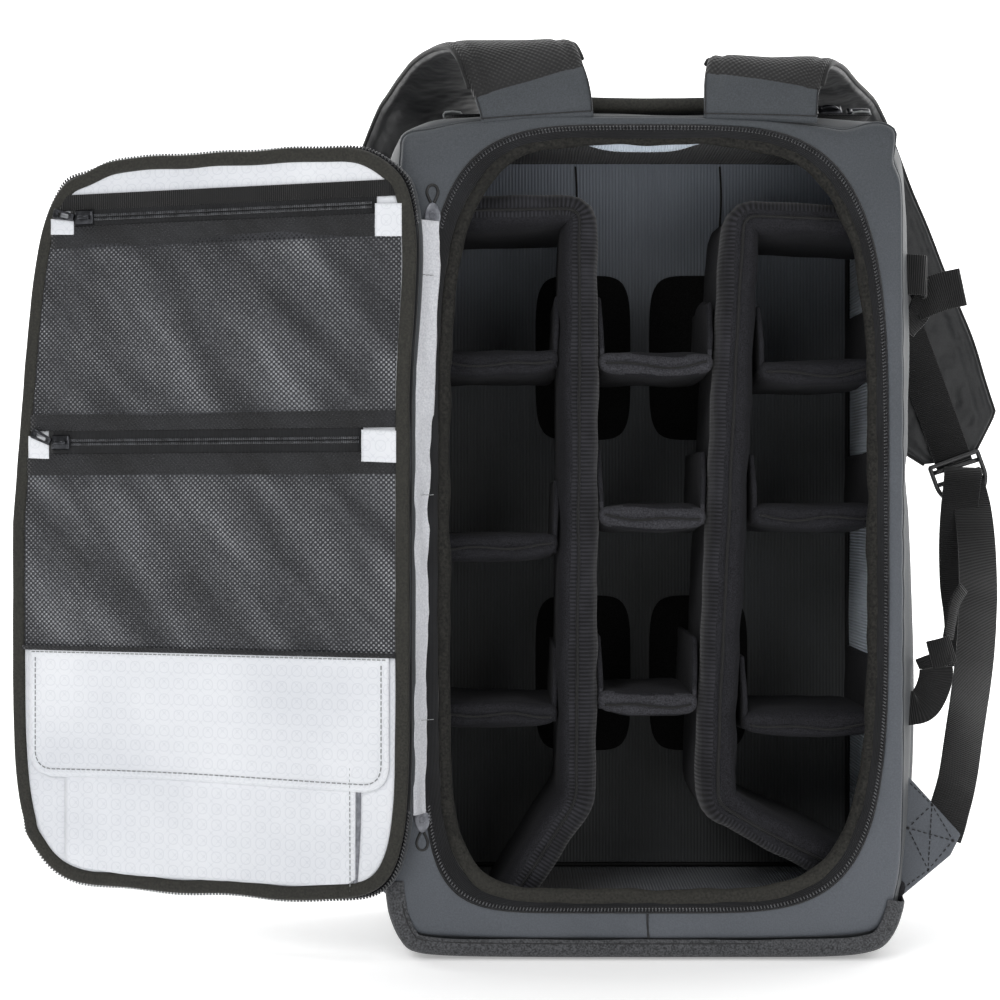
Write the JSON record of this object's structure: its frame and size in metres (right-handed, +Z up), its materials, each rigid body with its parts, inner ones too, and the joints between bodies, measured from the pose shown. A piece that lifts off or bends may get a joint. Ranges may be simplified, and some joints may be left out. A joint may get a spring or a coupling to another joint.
{
  "type": "camera backpack",
  "caption": "Camera backpack with a rear panel zipped open and folded out, showing mesh pockets on the panel and padded dividers inside.",
  "frame": {"origin": "centre of the base, on the floor", "axes": "+X across the width away from the lid's hinge, -Y towards the wearer's side with the opening, +Z up"},
  "size_m": [0.6385, 0.2309, 0.5494],
  "materials": {
    "pack_cloth": "coated nylon, satin",
    "boot_cloth": "heavy speckled base cloth, matt",
    "binding": "ribbed edge binding, matt",
    "black_cloth": "brushed loop cloth, matt",
    "wall_lining": "ribbed lining, soft",
    "floor_lining": "brushed lining, matt",
    "light_lining": "printed lining, soft",
    "gusset": "thin nylon, soft",
    "mesh": "knitted mesh",
    "webbing": "woven webbing",
    "zip_tape": "woven tape with coil teeth",
    "strap_cloth": "padded strap cloth",
    "foam": "laminated foam board",
    "black_plastic": "moulded, satin",
    "slider_metal": "gunmetal, satin",
    "slider_grey": "grey enamel, satin",
    "cord": "rubber coated cord loop"
  },
  "bodies": {
    "bag": {"back_frame": "pack_cloth", "top_panel": "pack_cloth", "side_panel_left": "pack_cloth", "side_panel_right": "pack_cloth", "base_boot": "boot_cloth", "front_panel": "pack_cloth", "padding_left": "wall_lining", "padding_right": "wall_lining", "padding_ends": "wall_lining", "padding_floor": "floor_lining", "laptop_sleeve": "foam", "loop_patches": "black_cloth", "opening_binding": "binding", "main_zip": "zip_tape", "main_slider_top": "slider_grey", "main_slider_bottom": "slider_grey", "hinge_gusset": "gusset", "long_divider_left": "black_cloth", "long_divider_right": "black_cloth", "shoulder_strap_left": "strap_cloth", "shoulder_strap_right": "strap_cloth", "strap_webbing": "webbing", "ladder_locks": "black_plastic", "lower_webbing_left": "webbing", "lower_webbing_right": "webbing", "strap_wings": "pack_cloth", "side_strap_upper": "webbing", "side_strap_lower": "webbing", "side_pocket_right": "pack_cloth", "top_zip": "zip_tape"},
    "lid": {"lid_cover": "pack_cloth", "lid_foam": "foam", "lid_liner": "light_lining", "lid_binding": "binding", "lid_zip": "zip_tape", "back_pads": "mesh", "mesh_pocket_upper": "mesh", "mesh_pocket_lower": "mesh", "pocket_zips": "zip_tape", "zip_end_patches": "light_lining", "sleeve_pocket": "light_lining"},
    "main_pull_top": {"main_pull_top": "cord"},
    "main_pull_bottom": {"main_pull_bottom": "cord"},
    "top_slider": {"top_slider": "slider_metal"},
    "top_pull": {"top_pull": "slider_metal"},
    "grab_handle": {"grab_handle": "binding"},
    "pocket_flap": {"pocket_flap": "light_lining"},
    "pocket_slider_upper": {"pocket_slider_upper": "slider_metal"},
    "pocket_slider_lower": {"pocket_slider_lower": "slider_metal"},
    "pocket_pull_upper": {"pocket_pull_upper": "slider_metal"},
    "pocket_pull_lower": {"pocket_pull_lower": "slider_metal"},
    "divider_left_1": {"divider_left_1": "black_cloth"},
    "divider_left_2": {"divider_left_2": "black_cloth"},
    "divider_left_3": {"divider_left_3": "black_cloth"},
    "divider_middle_1": {"divider_middle_1": "black_cloth"},
    "divider_middle_2": {"divider_middle_2": "black_cloth"},
    "divider_middle_3": {"divider_middle_3": "black_cloth"},
    "divider_right_1": {"divider_right_1": "black_cloth"},
    "divider_right_2": {"divider_right_2": "black_cloth"},
    "divider_right_3": {"divider_right_3": "black_cloth"}
  },
  "joints": [
    {"name": "lid_hinge", "type": "hinge", "parent": "bag", "child": "lid", "pos_m": [-0.134, -0.102, 0.255], "axis": [0, 0, 1], "range_deg": [0, 198], "deforming": ["hinge_gusset"]},
    {"name": "flap_hinge", "type": "hinge", "parent": "lid", "child": "pocket_flap", "pos_m": [-0.26298, -0.07018, 0.18], "axis": [0.9511, -0.309, 0], "range_deg": [-110, 0]},
    {"name": "pocket_slide_upper", "type": "slide", "parent": "lid", "child": "pocket_slider_upper", "axis": [0.9511, -0.309, 0], "range_m": [0, 0.155]},
    {"name": "pocket_slide_lower", "type": "slide", "parent": "lid", "child": "pocket_slider_lower", "axis": [0.9511, -0.309, 0], "range_m": [0, 0.18]},
    {"name": "pocket_pull_upper_hinge", "type": "hinge", "parent": "pocket_slider_upper", "child": "pocket_pull_upper", "pos_m": [-0.34508, -0.04519, 0.44], "axis": [0, 0, -1], "range_deg": [-100, 0]},
    {"name": "pocket_pull_lower_hinge", "type": "hinge", "parent": "pocket_slider_lower", "child": "pocket_pull_lower", "pos_m": [-0.36029, -0.04025, 0.304], "axis": [-0.4019, 0.1306, -0.9063], "range_deg": [-100, 0]},
    {"name": "main_pull_top_swing", "type": "hinge", "parent": "bag", "child": "main_pull_top", "pos_m": [-0.1265, -0.091, 0.4395], "axis": [0, 1, 0], "range_deg": [-30, 12]},
    {"name": "main_pull_bottom_swing", "type": "hinge", "parent": "bag", "child": "main_pull_bottom", "pos_m": [-0.1325, -0.091, 0.078], "axis": [0, 1, 0], "range_deg": [0, 30]},
    {"name": "top_zip_slide", "type": "slide", "parent": "bag", "child": "top_slider", "axis": [1, 0, 0], "range_m": [-0.215, 0]},
    {"name": "top_pull_hinge", "type": "hinge", "parent": "top_slider", "child": "top_pull", "pos_m": [0.1213, -0.045, 0.5045], "axis": [0, 1, 0], "range_deg": [-110, 0]},
    {"name": "grab_handle_lift", "type": "hinge", "parent": "bag", "child": "grab_handle", "pos_m": [0, -0.066, 0.5052], "axis": [1, 0, 0], "range_deg": [0, 30]},
    {"name": "divider_left_1_slide", "type": "slide", "parent": "bag", "child": "divider_left_1", "axis": [0, 0, 1], "range_m": [-0.02, 0.02]},
    {"name": "divider_left_2_slide", "type": "slide", "parent": "bag", "child": "divider_left_2", "axis": [0, 0, 1], "range_m": [-0.02, 0.02]},
    {"name": "divider_left_3_slide", "type": "slide", "parent": "bag", "child": "divider_left_3", "axis": [0, 0, 1], "range_m": [-0.02, 0.02]},
    {"name": "divider_middle_1_slide", "type": "slide", "parent": "bag", "child": "divider_middle_1", "axis": [0, 0, 1], "range_m": [-0.02, 0.02]},
    {"name": "divider_middle_2_slide", "type": "slide", "parent": "bag", "child": "divider_middle_2", "axis": [0, 0, 1], "range_m": [-0.02, 0.02]},
    {"name": "divider_middle_3_slide", "type": "slide", "parent": "bag", "child": "divider_middle_3", "axis": [0, 0, 1], "range_m": [-0.02, 0.02]},
    {"name": "divider_right_1_slide", "type": "slide", "parent": "bag", "child": "divider_right_1", "axis": [0, 0, 1], "range_m": [-0.02, 0.02]},
    {"name": "divider_right_2_slide", "type": "slide", "parent": "bag", "child": "divider_right_2", "axis": [0, 0, 1], "range_m": [-0.02, 0.02]},
    {"name": "divider_right_3_slide", "type": "slide", "parent": "bag", "child": "divider_right_3", "axis": [0, 0, 1], "range_m": [-0.02, 0.02]}
  ]
}
